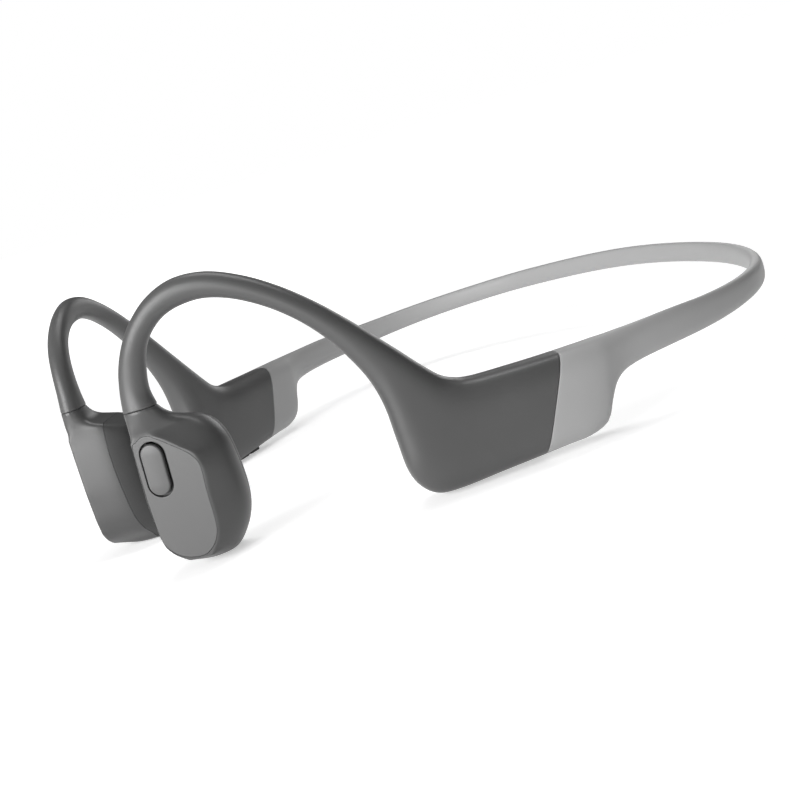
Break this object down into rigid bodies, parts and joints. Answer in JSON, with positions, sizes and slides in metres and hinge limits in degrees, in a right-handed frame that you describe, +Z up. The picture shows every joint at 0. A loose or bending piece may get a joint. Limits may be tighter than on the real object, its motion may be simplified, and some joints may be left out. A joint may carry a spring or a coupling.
{
  "type": "bone conduction headphones",
  "caption": "Open-ear bone conduction headphones: over-ear hooks with transducer housings, electronics modules behind the ears and a springy rear neckband.",
  "frame": {"origin": "bottom centre of the bounding box, on the plane the part rests on", "axes": "+X to the wearer's left, +Y to the wearer's back, +Z up"},
  "size_m": [0.1334, 0.142, 0.0512],
  "materials": {
    "dark_silicone": "soft matte silicone over-moulding, dark grey",
    "light_silicone": "soft matte silicone over-moulding, light grey",
    "dark_plastic": "fine matte soft-touch shell, dark grey",
    "face_plastic": "fine matte cover plate, mid grey",
    "pad_silicone": "skin-contact silicone, dark grey",
    "black_plastic": "black moulded plastic",
    "spring_titanium": "drawn spring wire",
    "spring_steel": "thin spring sheet",
    "yoke_steel": "plated soft-iron cup",
    "magnet_plating": "nickel-plated magnet",
    "coil_copper": "enamelled copper winding",
    "lead_jacket": "thin insulated leads",
    "board_green": "solder-masked circuit board",
    "cell_wrap": "foil pouch",
    "contact_gold": "gold-plated contact",
    "shield_tin": "tinned shield can"
  },
  "bodies": {
    "left_arm": {"left_hook_shell": "dark_silicone", "left_band_sleeve": "light_silicone", "left_hook_core": "spring_titanium", "left_band_core": "spring_titanium", "left_hook_leads": "lead_jacket", "left_band_leads": "lead_jacket", "left_housing_shell": "dark_plastic", "left_face_plate": "face_plastic", "left_contact_pad": "pad_silicone", "left_driver_bracket": "black_plastic", "left_driver_flexure": "spring_steel", "left_voice_coil": "coil_copper", "left_module_tray": "black_plastic", "button_switch": "spring_steel", "button_board": "board_green", "battery_cell": "cell_wrap"},
    "right_arm": {"right_hook_shell": "dark_silicone", "right_band_sleeve": "light_silicone", "right_hook_core": "spring_titanium", "right_band_core": "spring_titanium", "right_hook_leads": "lead_jacket", "right_band_leads": "lead_jacket", "right_housing_shell": "dark_plastic", "right_face_plate": "face_plastic", "right_contact_pad": "pad_silicone", "right_driver_bracket": "black_plastic", "right_driver_flexure": "spring_steel", "right_voice_coil": "coil_copper", "right_module_tray": "black_plastic", "volume_up_switch": "spring_steel", "volume_down_switch": "spring_steel", "charge_port": "black_plastic", "charge_contact_front": "contact_gold", "charge_contact_rear": "contact_gold", "main_board": "board_green", "radio_shield": "shield_tin"},
    "multifunction_button": {"multifunction_button": "face_plastic"},
    "volume_up_button": {"volume_up_button": "black_plastic"},
    "volume_down_button": {"volume_down_button": "black_plastic"},
    "left_driver_motor": {"left_driver_yoke": "yoke_steel", "left_driver_magnet": "magnet_plating"},
    "right_driver_motor": {"right_driver_yoke": "yoke_steel", "right_driver_magnet": "magnet_plating"}
  },
  "joints": [
    {"name": "neckband_flex", "type": "hinge", "parent": "left_arm", "child": "right_arm", "pos_m": [0, 0.07096, 0.0176], "axis": [0, 0, -1], "range_deg": [0, 20], "stiffness_Nm_per_rad": 0.4},
    {"name": "multifunction_press", "type": "slide", "parent": "left_arm", "child": "multifunction_button", "axis": [-0.6766, 0.7364, 0], "range_m": [0, 0.00045], "stiffness_N_per_m": 1500},
    {"name": "volume_up_press", "type": "slide", "parent": "right_arm", "child": "volume_up_button", "axis": [0, 0, 1], "range_m": [0, 0.00035], "stiffness_N_per_m": 1500},
    {"name": "volume_down_press", "type": "slide", "parent": "right_arm", "child": "volume_down_button", "axis": [0, 0, 1], "range_m": [0, 0.00035], "stiffness_N_per_m": 1500},
    {"name": "left_driver_vibration", "type": "slide", "parent": "left_arm", "child": "left_driver_motor", "axis": [0.6766, -0.7364, 0], "range_m": [-0.00015, 0.00015], "stiffness_N_per_m": 200},
    {"name": "right_driver_vibration", "type": "slide", "parent": "right_arm", "child": "right_driver_motor", "axis": [-0.6766, -0.7364, 0], "range_m": [-0.00015, 0.00015], "stiffness_N_per_m": 200}
  ]
}
